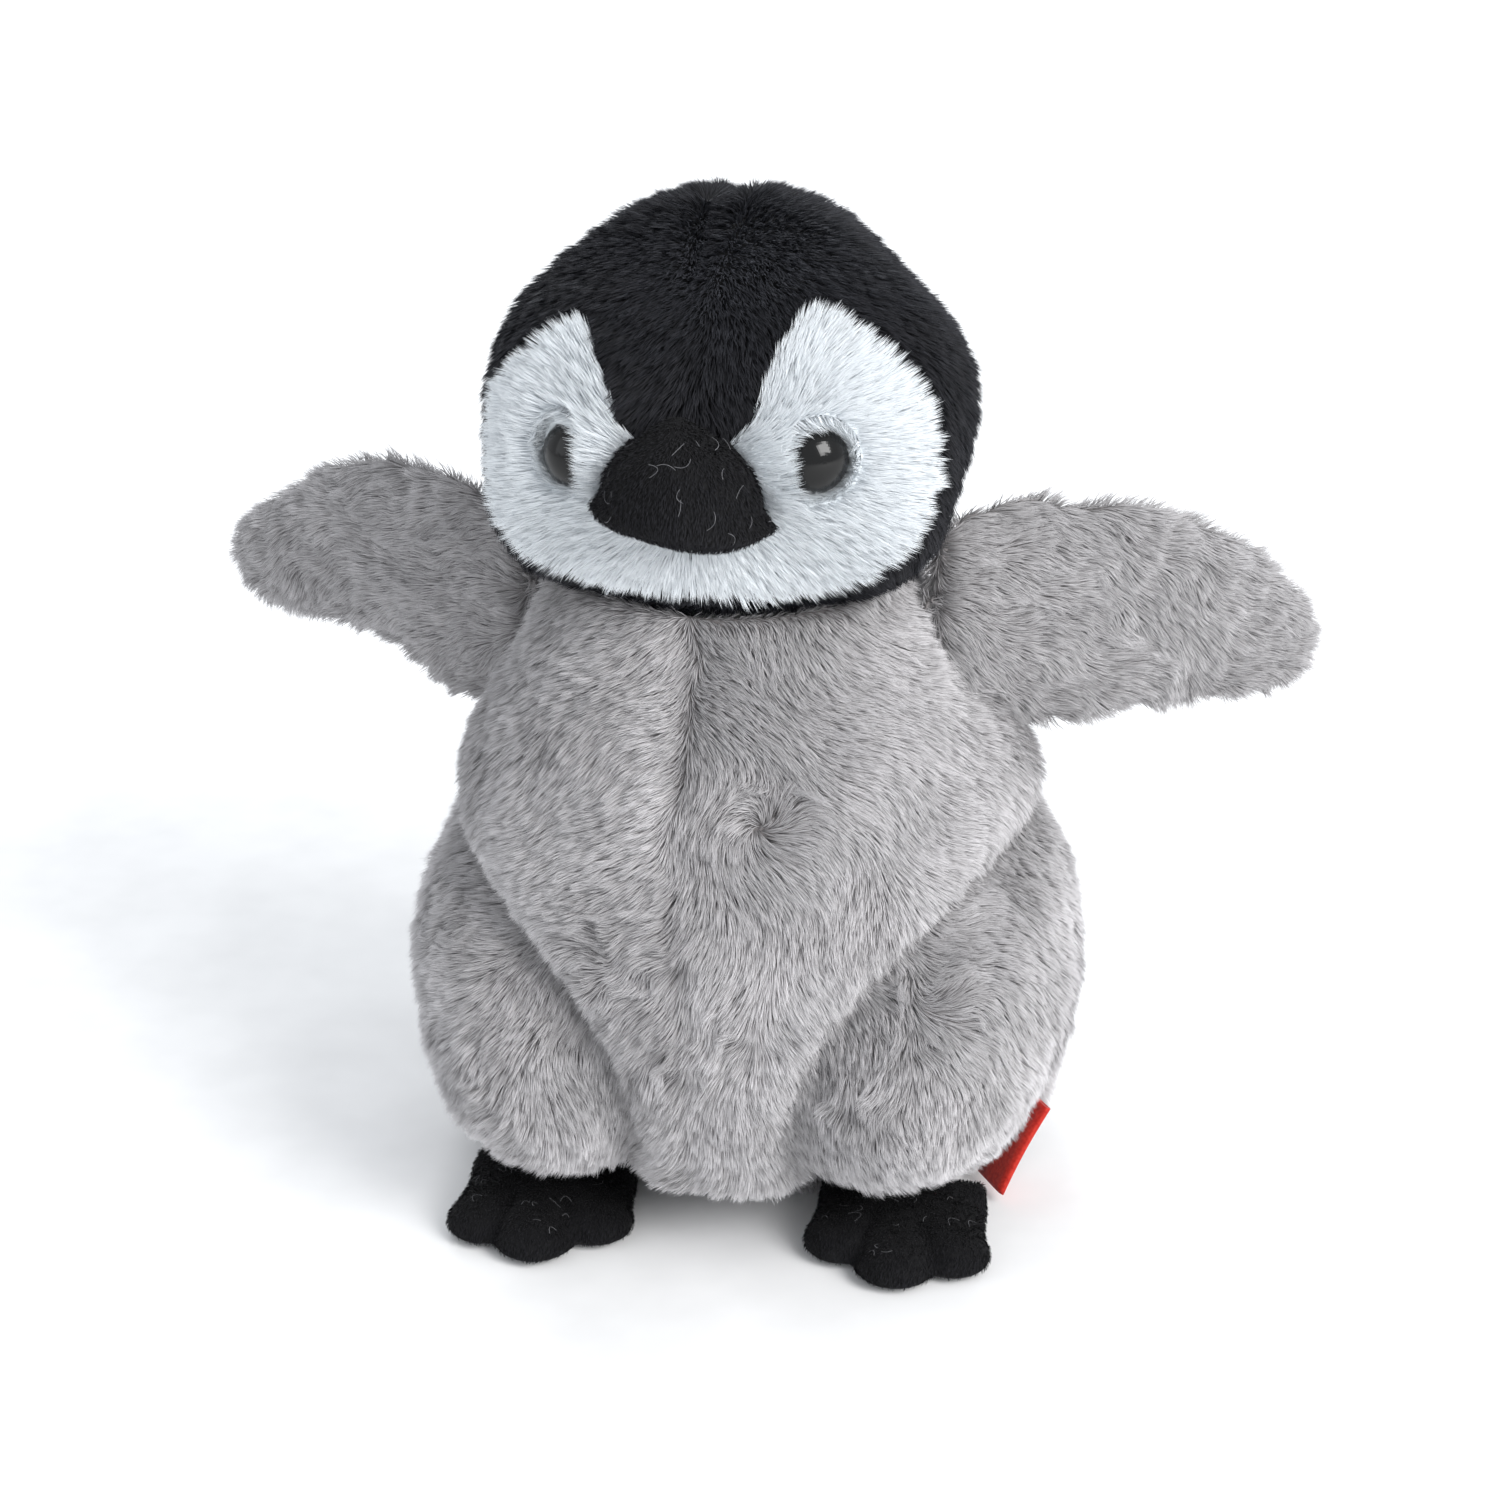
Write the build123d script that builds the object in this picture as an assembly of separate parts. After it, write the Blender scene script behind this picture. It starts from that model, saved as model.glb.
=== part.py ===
"""Plush penguin, standing. Millimetres, +Z up, floor at z = 0, the face looks along -Y.

Left and right are the toy's own: its left side is +X. Every left piece is built
once and mirrored. Outer surfaces stand for the tips of the pile.
"""
from build123d import *
import math
import os

os.makedirs("parts", exist_ok=True)

# ---------------------------------------------------------------- dimensions
GAP = 0.3               # clearance between neighbouring pieces
SHELL = 5.0             # fabric backing plus its pile
BASE_T = 5.0            # base panel thickness

# torso stations: height, half width, front reach, back reach
TORSO = [
    (0.0, 46.0, -27.0, 45.0),
    (4.0, 54.5, -35.0, 51.0),
    (11.0, 60.0, -43.0, 55.5),
    (22.0, 63.5, -51.0, 58.5),
    (38.0, 64.5, -59.0, 59.0),
    (56.0, 62.5, -64.5, 56.0),
    (74.0, 58.0, -66.5, 50.0),
    (92.0, 52.0, -65.0, 42.0),
    (110.0, 44.5, -59.5, 32.0),
    (124.0, 37.5, -52.5, 23.5),
    (137.0, 30.0, -44.5, 14.0),
]
SIDE_SEAM_Y = -9.0      # front and back panels meet here
BASE_RX, BASE_FRONT, BASE_BACK = 38.5, -21.5, 38.5

HEAD = (0.0, -16.0, 164.0)      # head centre, both head joints pass through it
HEAD_A, HEAD_C = 44.5, 38.0     # head radius and half height
SEAT_A, SEAT_C = 46.5, 39.2     # hollow in the torso's top that the head sits in
NECK_BALL, NECK_R = 14.0, 12.0
NECK_LOW = 96.0
NECK_MOUTH_TOP, NECK_MOUTH_LOW = 12.8, 21.5     # conical way for the neck
CHIN_Z = 136.5                  # top of the black panel under the chin
CHEEK_FRONT = 3.0               # the white patches start this far in front of the head's centre

EYE_X, EYE_Z = 23.2, 165.0
EYE_R, EYE_H = 6.0, 4.8         # radius and height of the eye's dome
EYE_SINK = 3.4                  # the dome's base below the pile's tips
EYE_RIM = 0.4                   # flat rim under the dome
POST_R, POST_L = 2.0, 12.5
WASHER_R, WASHER_T = 7.5, 1.8
WASHER_SLACK = 1.2              # room for the cheek's seam under the washer

BEAK_UP = ((0.0, -57.0, 161.5), (16.3, 16.0, 10.5))
BEAK_LOW = ((0.0, -55.5, 156.5), (13.0, 11.0, 6.5))
BEAK_SKIN = 2.0
MOUTH_Z, BEAK_SPLIT = 155.6, 0.2        # where the two beak pieces part, and the gap there

SHOULDER = (49.0, -9.0, 116.0)  # flipper root centre
SWEEP = 37.0                    # flipper swept back from straight sideways
FLIP_SKIN = 2.6
TUCK_IN, TUCK_OUT, TUCK_T = 19.4, 21.0, 5.0     # curved tuck between the flipper and the torso
TUCK_ANGLE = 40.0               # half of the arc that it covers
DIMPLE_R = 21.7                 # hollow in the torso round the flipper's root
# flipper stations: along the span, centre line, half width, half thickness
FLIP = [
    (-17.3, 0.0, 4.0, 2.6),
    (-15.5, 0.0, 8.4, 4.2),
    (-11.5, 0.1, 13.4, 5.0),
    (-5.0, 0.8, 17.4, 5.4),
    (3.0, 2.2, 20.3, 5.6),
    (15.0, 2.8, 22.4, 5.9),
    (29.0, 1.4, 21.6, 6.0),
    (43.0, -2.4, 19.2, 5.8),
    (55.0, -6.6, 16.4, 5.3),
    (64.5, -10.4, 12.8, 4.4),
    (70.0, -12.6, 8.6, 3.2),
    (72.5, -13.8, 4.6, 1.8),
]

HAUNCH = (33.6, -8.0, 46.0)     # centre of a thigh lobe
HAUNCH_R = (32.2, 55.0, 41.0)
HAUNCH_LEAN = 14.0
HAUNCH_SKIN = 3.5
HAUNCH_LOW = 0.5                # the lobes hang this far clear of the floor

FOOT_X, FOOT_ROOT_Y, FOOT_T = 34.5, -24.0, 7.4
FOOT_AXIS_Z = FOOT_T / 2
FOOT_LIFT = 18.0
FOOT_ROOT_W, FOOT_SKIN = 13.5, 2.0
FOOT_SEAM = 0.6                 # the sewn edge, solid felt
TOES = [(-10.8, -39.0, 6.9), (0.2, -45.2, 7.8), (11.0, -41.2, 6.9)]     # dx, y, radius
TOE_WEB, TOE_WEB_Y, TOE_WEB_R = 0.45, -30.0, 9.0        # where each toe's web starts
HEEL_DX, HEEL_Y, HEEL_R = 7.5, -31.0, 7.0
FOOT_WAY_W, FOOT_WAY_LONG = 21.5, 46.0      # hollow that the foot moves in: half width, length
FOOT_WAY_GAP = 0.5              # clearance above the foot and round its root

LABEL_AT, LABEL_SIZE = (58.4, -13.0, 10.9), (12.0, 1.2, 19.0)
LABEL_LEAN, LABEL_TURN = 25.0, 72.0

BIG = 400.0


# ------------------------------------------------------------------- helpers
def save(name, solid):
    """Write one named piece."""
    solid.label = name
    export_step(solid, "parts/" + name + ".step")


def box(x0, x1, y0, y1, z0, z1):
    return Pos((x0 + x1) / 2, (y0 + y1) / 2, (z0 + z1) / 2) * Box(x1 - x0, y1 - y0, z1 - z0)


def spheroid(centre, a, c):
    """Ball stretched along Z, made by turning half an ellipse."""
    half = Ellipse(a, c) - Pos(-a, 0) * Rectangle(2 * a, 2.5 * c)
    return Pos(*centre) * revolve(Plane.XZ * half, Axis.Z)


def ellipsoid(centre, radii, lean=0.0):
    """Ball with three radii, leaned about Y."""
    return Pos(*centre) * Rot(0, lean, 0) * scale(Sphere(1.0), by=tuple(radii))


def torso_solid(inset=0.0, low=0.0):
    """Loft through the stations, each drawn in by inset."""
    faces = []
    for z, rx, front, back in TORSO:
        zz = z + low * (1 - z / TORSO[-1][0])
        ry = (back - front) / 2 - inset
        faces.append(Pos(0, (back + front) / 2, zz) * Ellipse(rx - inset, ry))
    return loft(faces)


def only(solid):
    """The largest body of a cut, so crumbs are dropped."""
    return max(solid.solids(), key=lambda s: s.volume)


def pair(name, solid):
    """Save a left piece and its mirror image."""
    body = only(solid)
    save("left_" + name, body)
    save("right_" + name, only(mirror(Part() + body, about=Plane.YZ)))


# ------------------------------------------------------------------ cutters
seat = spheroid(HEAD, SEAT_A, SEAT_C)
neck_way = Pos(HEAD[0], HEAD[1], (HEAD[2] + NECK_LOW - GAP) / 2) * Cylinder(
    NECK_R + GAP, HEAD[2] - NECK_LOW + GAP)
dimple = Pos(*SHOULDER) * Sphere(DIMPLE_R)


def disc(x, y, radius):
    """Edges of a circle, for a hull."""
    return (Pos(x, y) * Circle(radius)).edges()


def foot_outline():
    """Plan of a foot: a narrow root widening to three rounded toes."""
    toes = [make_hull(disc(dx, y, r) + disc(dx * TOE_WEB, TOE_WEB_Y, TOE_WEB_R)) for dx, y, r in TOES]
    root = Pos(0, FOOT_ROOT_Y + 1) * Rectangle(2 * FOOT_ROOT_W, 2)
    heel = make_hull(disc(-HEEL_DX, HEEL_Y, HEEL_R) + disc(HEEL_DX, HEEL_Y, HEEL_R) + root.edges())
    return Pos(FOOT_X, 0) * (toes[0] + toes[1] + toes[2] + heel)


foot_way = box(FOOT_X - FOOT_WAY_W, FOOT_X + FOOT_WAY_W, FOOT_ROOT_Y - FOOT_WAY_LONG, FOOT_ROOT_Y,
               -FOOT_T, FOOT_T + FOOT_WAY_GAP)
foot_lift_way = Pos(FOOT_X, FOOT_ROOT_Y, FOOT_AXIS_Z) * Rot(-FOOT_LIFT - 1.0, 0, 0) * box(
    -FOOT_WAY_W, FOOT_WAY_W, -FOOT_WAY_LONG, 0, -FOOT_T, FOOT_T / 2 + FOOT_WAY_GAP)
foot_root_way = Pos(FOOT_X, FOOT_ROOT_Y, FOOT_AXIS_Z) * Rot(0, 90, 0) * Cylinder(
    FOOT_T / 2 + FOOT_WAY_GAP, 2 * FOOT_WAY_W)
foot_cut = foot_way + foot_lift_way + foot_root_way
foot_cuts = foot_cut + mirror(foot_cut, about=Plane.YZ)
dimples = dimple + mirror(dimple, about=Plane.YZ)

# -------------------------------------------------------------------- torso
outer = torso_solid()
inner = torso_solid(SHELL, BASE_T)
open_top = seat + neck_way
base_core = Pos(0, (BASE_FRONT + BASE_BACK) / 2, 0) * extrude(
    Ellipse(BASE_RX, (BASE_BACK - BASE_FRONT) / 2), BASE_T - GAP)

shell = outer - inner - base_core - open_top - dimples - foot_cuts
shell = shell - box(-BIG, BIG, -BIG, BIG, -BIG, 0)
for side, x0, x1 in (("left", 0, BIG), ("right", -BIG, 0)):
    save("torso_front_%s_panel" % side,
         only(shell & box(x0, x1, -BIG, SIDE_SEAM_Y, -1, BIG)))
    save("torso_back_%s_panel" % side,
         only(shell & box(x0, x1, SIDE_SEAM_Y, BIG, -1, BIG)))
save("torso_base_panel", only(base_core - foot_cuts))
save("torso_stuffing",
     only(torso_solid(SHELL + GAP, BASE_T + GAP) - open_top - dimples - foot_cuts))

# ------------------------------------------------------------------ haunches
lobe = ellipsoid(HAUNCH, HAUNCH_R, HAUNCH_LEAN)
inside_torso = torso_solid(-GAP)
lobe_core_r = [r - HAUNCH_SKIN for r in HAUNCH_R]
lobe_void = ellipsoid(HAUNCH, lobe_core_r, HAUNCH_LEAN)
lobe_fill = ellipsoid(HAUNCH, [r - GAP for r in lobe_core_r], HAUNCH_LEAN)
haunch = lobe - inside_torso - foot_cut - box(-BIG, BIG, -BIG, BIG, -BIG, HAUNCH_LOW)
pair("haunch_panel", haunch - lobe_void)
pair("haunch_stuffing", lobe_fill - torso_solid(-2 * GAP) - foot_cut)

# --------------------------------------------------------------------- label
label = Pos(*LABEL_AT) * Rot(0, LABEL_LEAN, 0) * Rot(0, 0, LABEL_TURN) * Box(*LABEL_SIZE)
label = label - inside_torso - ellipsoid(HAUNCH, [r + GAP for r in HAUNCH_R], HAUNCH_LEAN)
save("brand_label", only(label - foot_cut))

# ---------------------------------------------------------------------- neck
neck = Pos(*HEAD) * Sphere(NECK_BALL)
neck = neck + Pos(HEAD[0], HEAD[1], (HEAD[2] + NECK_LOW) / 2) * Cylinder(
    NECK_R, HEAD[2] - NECK_LOW)
save("neck_core", only(neck))

# ---------------------------------------------------------------------- head
head_outer = spheroid(HEAD, HEAD_A, HEAD_C)
head_inner = spheroid(HEAD, HEAD_A - SHELL, HEAD_C - SHELL)
depth = HEAD_C + 2
mouth = Pos(HEAD[0], HEAD[1], HEAD[2] - depth / 2) * Rot(180, 0, 0) * Cone(
    NECK_MOUTH_TOP, NECK_MOUTH_LOW, depth)

eye_y = HEAD[1] - HEAD_A * math.sqrt(
    1 - (EYE_X / HEAD_A) ** 2 - ((EYE_Z - HEAD[2]) / HEAD_C) ** 2)
eye_out = Vector(EYE_X / HEAD_A ** 2, (eye_y - HEAD[1]) / HEAD_A ** 2,
                 (EYE_Z - HEAD[2]) / HEAD_C ** 2).normalized()
eye_at = Plane(origin=(EYE_X, eye_y, EYE_Z), z_dir=eye_out).location


def stack(radius, low, high):
    """Cylinder standing on the eye's axis."""
    return eye_at * Pos(0, 0, (low + high) / 2) * Cylinder(radius, high - low)


dome = (eye_at * Pos(0, 0, -EYE_SINK) * spheroid((0, 0, 0), EYE_R, EYE_H)) & stack(20, -EYE_SINK, 20)
eye = dome + stack(EYE_R, -EYE_SINK - EYE_RIM, -EYE_SINK) + stack(POST_R, -POST_L, -EYE_SINK)
eye_hole = stack(EYE_R + GAP, -EYE_SINK - EYE_RIM - GAP, 12) + stack(POST_R + GAP, -POST_L - GAP, 0)
washer_low = -SHELL - WASHER_SLACK - WASHER_T
washer = stack(WASHER_R, washer_low, washer_low + WASHER_T) - stack(POST_R + GAP, -20, 0)
back_hole = stack(WASHER_R + GAP, -POST_L - 2 * GAP, -SHELL / 2)
pair("eye", eye)
pair("eye_washer", washer)
eye_holes = eye_hole + mirror(eye_hole, about=Plane.YZ)
back_holes = back_hole + mirror(back_hole, about=Plane.YZ)

cheek_line = Spline((0, 131.5), (9, 131.6), (18, 132.4), (28, 135.5), (36, 142.5), (40.8, 153),
                    (41.2, 164.5), (38.3, 174.5), (31.5, 184), (21.5, 190.5))
inner_line = Spline((21.5, 190.5), (17.2, 184.5), (14.6, 177.5), (12.6, 172.5))
brow_line = Line((12.6, 172.5), (9.6, 168.5))
beak_line = Line((9.6, 168.5), (0, 168.5))
mid_line = Line((0, 168.5), (0, 131.5))
cheek_face = make_face(cheek_line + inner_line + brow_line + beak_line + mid_line)
cheek_way = extrude(Plane.XZ * cheek_face, -HEAD[1] + 2 * HEAD_A)
chin_cut = box(-BIG, BIG, -BIG, BIG, -BIG, CHIN_Z)

head_shell = head_outer - head_inner - mouth - eye_holes
upper = head_shell - chin_cut
cheek = upper & cheek_way & box(0, BIG, -BIG, HEAD[1] - CHEEK_FRONT, -BIG, BIG)
pair("cheek_panel", cheek)
pair("hood_panel", (upper & box(0, BIG, -BIG, BIG, -BIG, BIG)) - cheek)
save("chin_panel", only(head_shell & chin_cut))

stuffing = spheroid(HEAD, HEAD_A - SHELL - GAP, HEAD_C - SHELL - GAP) - mouth
stuffing = stuffing - Pos(*HEAD) * Sphere(NECK_BALL + GAP) - back_holes
save("head_stuffing", only(stuffing))

# ---------------------------------------------------------------------- beak
face = spheroid(HEAD, HEAD_A + GAP, HEAD_C + GAP)
above = box(-BIG, BIG, -BIG, BIG, MOUTH_Z, BIG)
below = box(-BIG, BIG, -BIG, BIG, -BIG, MOUTH_Z - BEAK_SPLIT)


def bulb(spec, grow=0.0):
    return ellipsoid(spec[0], [r + grow for r in spec[1]])


fill_up = bulb(BEAK_UP, -BEAK_SKIN)
save("beak_upper", only((bulb(BEAK_UP) & above) - face - fill_up))
save("beak_lower", only((bulb(BEAK_LOW) & below) - face - bulb(BEAK_UP, -BEAK_SKIN)))
save("beak_stuffing", only(bulb(BEAK_UP, -BEAK_SKIN - GAP) - spheroid(
    HEAD, HEAD_A + 2 * GAP, HEAD_C + 2 * GAP)))

# ------------------------------------------------------------------ flippers
span = Vector(math.cos(math.radians(SWEEP)), math.sin(math.radians(SWEEP)), 0)
facing = Vector(math.sin(math.radians(SWEEP)), -math.cos(math.radians(SWEEP)), 0)
flip_at = Plane(origin=SHOULDER, x_dir=span, z_dir=facing).location


def slab(shape, low, high):
    return Pos(0, 0, low) * extrude(shape, high - low)


def flipper_solid(inset=0.0):
    """Loft along the span; the thin ends are left off once they vanish."""
    faces = []
    for u, w, half, thick in FLIP:
        if half - inset > 1.2 and thick - inset > 0.6:
            across = Plane(origin=(u, w, 0), x_dir=(0, 1, 0), z_dir=(1, 0, 0))
            faces.append(across * Ellipse(half - inset, thick - inset))
    return loft(faces)


plate = flipper_solid()
void = flipper_solid(FLIP_SKIN)
front_half = box(-BIG, BIG, -BIG, BIG, 0, BIG)
pair("flipper_outer_panel", flip_at * ((plate & front_half) - void))
pair("flipper_inner_panel", flip_at * ((plate - front_half) - void))
pair("flipper_wadding", flip_at * flipper_solid(FLIP_SKIN + GAP))

tuck = slab(Circle(TUCK_OUT) - Circle(TUCK_IN), -TUCK_T / 2, TUCK_T / 2)
reach = 2 * TUCK_OUT
rise = reach * math.tan(math.radians(TUCK_ANGLE))
wedge = make_face(Polyline((0, 0), (-reach, rise), (-reach, -rise), (0, 0)))
tuck = tuck & slab(wedge, -TUCK_T, TUCK_T)
pair("shoulder_tuck", flip_at * tuck)

# --------------------------------------------------------------------- feet
plan = foot_outline()
foot = slab(plan, 0, FOOT_T)
root_round = Pos(FOOT_X, FOOT_ROOT_Y, FOOT_AXIS_Z) * Rot(0, 90, 0) * Cylinder(
    FOOT_T / 2, 2 * FOOT_ROOT_W)
keep = box(-BIG, BIG, -BIG, FOOT_ROOT_Y, -1, BIG)
foot = (foot & keep) + root_round
pad_plan = offset(plan, -FOOT_SKIN - FOOT_SEAM, kind=Kind.ARC)
pad_void = slab(pad_plan, FOOT_SKIN, FOOT_T - FOOT_SKIN) & keep
pad = slab(offset(pad_plan, -GAP, kind=Kind.ARC), FOOT_SKIN + GAP, FOOT_T - FOOT_SKIN - GAP)
pad = pad & box(-BIG, BIG, -BIG, FOOT_ROOT_Y - GAP, -1, BIG)
pair("foot_top", (foot & box(-BIG, BIG, -BIG, BIG, FOOT_AXIS_Z, BIG)) - pad_void)
pair("foot_sole", (foot & box(-BIG, BIG, -BIG, BIG, -BIG, FOOT_AXIS_Z)) - pad_void)
pair("foot_pad", pad)
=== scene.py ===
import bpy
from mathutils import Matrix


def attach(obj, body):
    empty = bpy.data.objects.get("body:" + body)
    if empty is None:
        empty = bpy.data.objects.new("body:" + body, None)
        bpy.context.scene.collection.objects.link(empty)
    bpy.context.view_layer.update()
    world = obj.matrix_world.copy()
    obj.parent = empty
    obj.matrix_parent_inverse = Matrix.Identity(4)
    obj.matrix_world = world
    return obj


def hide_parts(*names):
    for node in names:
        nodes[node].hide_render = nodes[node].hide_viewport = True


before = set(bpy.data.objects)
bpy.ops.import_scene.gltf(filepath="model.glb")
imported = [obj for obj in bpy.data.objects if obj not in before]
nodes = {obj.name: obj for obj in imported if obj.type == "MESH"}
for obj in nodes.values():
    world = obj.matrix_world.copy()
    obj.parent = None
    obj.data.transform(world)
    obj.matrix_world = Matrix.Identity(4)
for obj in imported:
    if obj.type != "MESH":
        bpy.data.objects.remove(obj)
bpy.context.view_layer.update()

import math
import bpy
import bmesh
import numpy as np
from mathutils import Matrix, Vector
from mathutils.kdtree import KDTree

MM = 0.001
scene = bpy.context.scene

# ------------------------------------------------------------ places, in millimetres
# the head: an ellipsoid, and the hollow of the torso that it sits in
HEAD = np.array((0.0, -16.0, 164.0))
HEAD_R = np.array((44.5, 44.5, 38.0))
SEAT_R = np.array((46.5, 46.5, 39.2))
HEAD_YAW, HEAD_ROLL = math.radians(-3.6), math.radians(-1.9)    # it sits slightly askew
EYE = (23.2, 165.0)                 # across and up
EYE_SINK, EYE_R, EYE_H = 4.2, 6.0, 4.8
FAR_EYE_SINK, FAR_EYE_DROP = 0.7, 1.0               # the right eye sits deeper and lower
NASAL = np.array((EYE[0] - 8.0, -60.0, EYE[1]))     # beside an eye, towards the beak
NASAL_R = 5
CHEEK_LEAN, CHEEK_RISE = 1.7, 3.1   # how far white tips are from their roots, along and up
BEAK = np.array((0.0, -57.0, 160.0))
BEAK_MIDDLE = np.array((0.0, -57.0, 161.0))
BEAK_R = np.array((14.0, 17.0, 9.0))
BEAK_Z = (157.0, 158.5, 160.0, 163.7, 166.8, 169.5, 172.5, 176.0)      # its outline from the front
BEAK_X = (17.0, 15.6, 14.4, 13.6, 12.4, 10.2, 6.4, 2.0)
BEAK_TILT = 0.10                    # its corner on the left hangs lower than the other one

# the torso, with a thigh lobe on each side
SIDE_Y = -9.0                       # the front and back panels meet here
LOBE, LOBE_R, LOBE_LEAN = np.array((33.6, -8.0, 46.0)), np.array((32.2, 55.0, 41.0)), math.radians(14.0)
SEAM_X = -2.8                       # the front seam sits a little off the middle
SIDE_LEAN, SLIM_RIGHT, SLIM_LEFT = 0.9, 2.4, 0.3
BELLY_LIFT, BELLY_BACK = 5.0, 2.5   # the belly's lower front edge hangs clear of the floor
# the left side is fuller under the flipper and above the label: place, radius and by how much
FULLER = (((46, -6, 88), 17, 5.6), ((54, -14, 11), 10, 4.4))
SWIRL, SWIRL_R = np.array((11.0, -66.0, 102.0)), 12
# places where the pile is matted, with the radius of each
MATTED = (((-14, -66, 72), 13), ((-5, -66, 52), 9), ((40, -50, 62), 12), ((30, -58, 44), 8),
          ((-49, -38, 62), 11), ((-42, -48, 44), 8), ((7, -66, 60), 8), ((11, -66, 101), 9))

# the flippers and the feet, on the left; the right ones are their mirror images
SHOULDER = np.array((49.0, -9.0, 116.0))
SWEEP = math.radians(37.0)          # how far back a flipper points
FLIP_ROOT = (-16.0, -11.5, -5.0, 3.0, 10.0, 15.0)   # along a flipper from its shoulder
FLIP_SQUARE = (2.2, 1.0, 0.50, 0.26, 0.08, 0.0)     # stretch that squares the top of its root
LEFT_SQUARE = 1.35                  # the left root is squarer still
FOOT = np.array((34.5, -24.0, 3.7))
FOOT_BASE, FOOT_ROUND, FOOT_RIM = 2.2, 8.0, 0.16    # lowest middle, rounded width, share of rim
TOE_GROOVES = ((-5.2, -0.22), (5.8, 0.20))          # where they cross the foot, and their lean
LABEL_TOP, LABEL_FOOT = np.array((61.8, -13.0, 19.0)), np.array((53.6, -19.0, 2.4))
LABEL_INWARD = np.array((-0.53, 0.85, 0.0))

# how far each backing lies under the tips of its pile
TORSO_DEEP, HEAD_DEEP, FLIPPER_DEEP, TUCK_DEEP, BEAK_DEEP = 2.6, 2.4, 2.0, 1.2, 0.5
TORSO_PILE, FLIPPER_PILE, TUCK_PILE, WHITE_PILE, BLACK_PILE, FUZZ = 4.6, 5.0, 3.0, 4.0, 3.6, 1.05


# ------------------------------------------------------------ noise
def lattice(ix, iy, iz, seed):
    """A random number from 0 to 1 for each point of a grid."""
    h = (ix * 374761393 + iy * 668265263 + iz * 1274126177 + seed * 974634777) & 0xFFFFFFFF
    h = ((h ^ (h >> 13)) * 1103515245) & 0xFFFFFFFF
    h = ((h ^ (h >> 15)) * 22695477) & 0xFFFFFFFF
    return ((h >> 8) & 0xFFFF) / 65535.0


def noise(p, size, seed):
    """Smooth value noise from -1 to 1; features are size mm across."""
    q = p / size
    i = np.floor(q).astype(np.int64)
    f = q - i
    f = f * f * (3 - 2 * f)
    out = np.zeros(len(p))
    for dx in (0, 1):
        for dy in (0, 1):
            for dz in (0, 1):
                w = ((f[:, 0] if dx else 1 - f[:, 0]) * (f[:, 1] if dy else 1 - f[:, 1])
                     * (f[:, 2] if dz else 1 - f[:, 2]))
                out += w * lattice(i[:, 0] + dx, i[:, 1] + dy, i[:, 2] + dz, seed)
    return out * 2 - 1


def noise3(p, size, seed):
    """Three noises at once, as vectors."""
    return np.stack([noise(p, size, seed + k * 17) for k in range(3)], axis=1)


def clumps(p, size, seed):
    """Nearest jittered point of a grid: its place and a random number of its own."""
    cell = np.floor(p / size).astype(np.int64)
    best = np.full(len(p), 1e9)
    where = np.zeros_like(p)
    tag = np.zeros(len(p))
    for dx in (-1, 0, 1):
        for dy in (-1, 0, 1):
            for dz in (-1, 0, 1):
                c = cell + (dx, dy, dz)
                j = np.stack([lattice(c[:, 0], c[:, 1], c[:, 2], seed + k) for k in range(3)], axis=1)
                q = (c + j) * size
                d = ((q - p) ** 2).sum(1)
                near = d < best
                best[near], where[near] = d[near], q[near]
                tag[near] = lattice(c[:, 0], c[:, 1], c[:, 2], seed + 9)[near]
    return where, tag


def unit(v):
    return v / np.maximum(np.linalg.norm(v, axis=-1, keepdims=True), 1e-9)


def smooth(x, a, b):
    """Rises smoothly from 0 at a to 1 at b."""
    t = np.clip((x - a) / (b - a), 0, 1)
    return t * t * (3 - 2 * t)


# ------------------------------------------------------------ mesh building
def make_mesh(name, co, faces_flat, sizes, uv=None):
    """Mesh from flat arrays, coordinates in mm."""
    me = bpy.data.meshes.new(name)
    me.vertices.add(len(co))
    me.vertices.foreach_set("co", (co * MM).astype(np.float32).ravel())
    me.loops.add(len(faces_flat))
    me.loops.foreach_set("vertex_index", faces_flat.astype(np.int32))
    me.polygons.add(len(sizes))
    starts = np.concatenate(([0], np.cumsum(sizes)[:-1]))
    me.polygons.foreach_set("loop_start", starts.astype(np.int32))
    if uv is not None:
        layer = me.uv_layers.new(name="OFBake")
        layer.data.foreach_set("uv", uv.astype(np.float32).ravel())
    me.update(calc_edges=True)
    return me


def add(name, me, mats, body=None, slot=None):
    """A visible piece, which moves with a body unless it is the floor."""
    ob = bpy.data.objects.new(name, me)
    scene.collection.objects.link(ob)
    for m in mats if isinstance(mats, list) else [mats]:
        me.materials.append(m)
    if body:
        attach(ob, body)
    return ob


def node_points(names):
    """Vertices of CAD nodes, in mm."""
    return np.array([v.co[:] for n in names for v in nodes[n].data.vertices]) / MM


def joined(names, hulls=()):
    """Copies of CAD nodes as one mesh, with the convex hulls of some points added."""
    bm = bmesh.new()
    for n in names:
        bm.from_mesh(nodes[n].data)
    for points in hulls:
        bmesh.ops.convex_hull(bm, input=[bm.verts.new(Vector(p) * MM) for p in points])
    me = bpy.data.meshes.new("joined")
    bm.to_mesh(me)
    bm.free()
    return me


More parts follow.
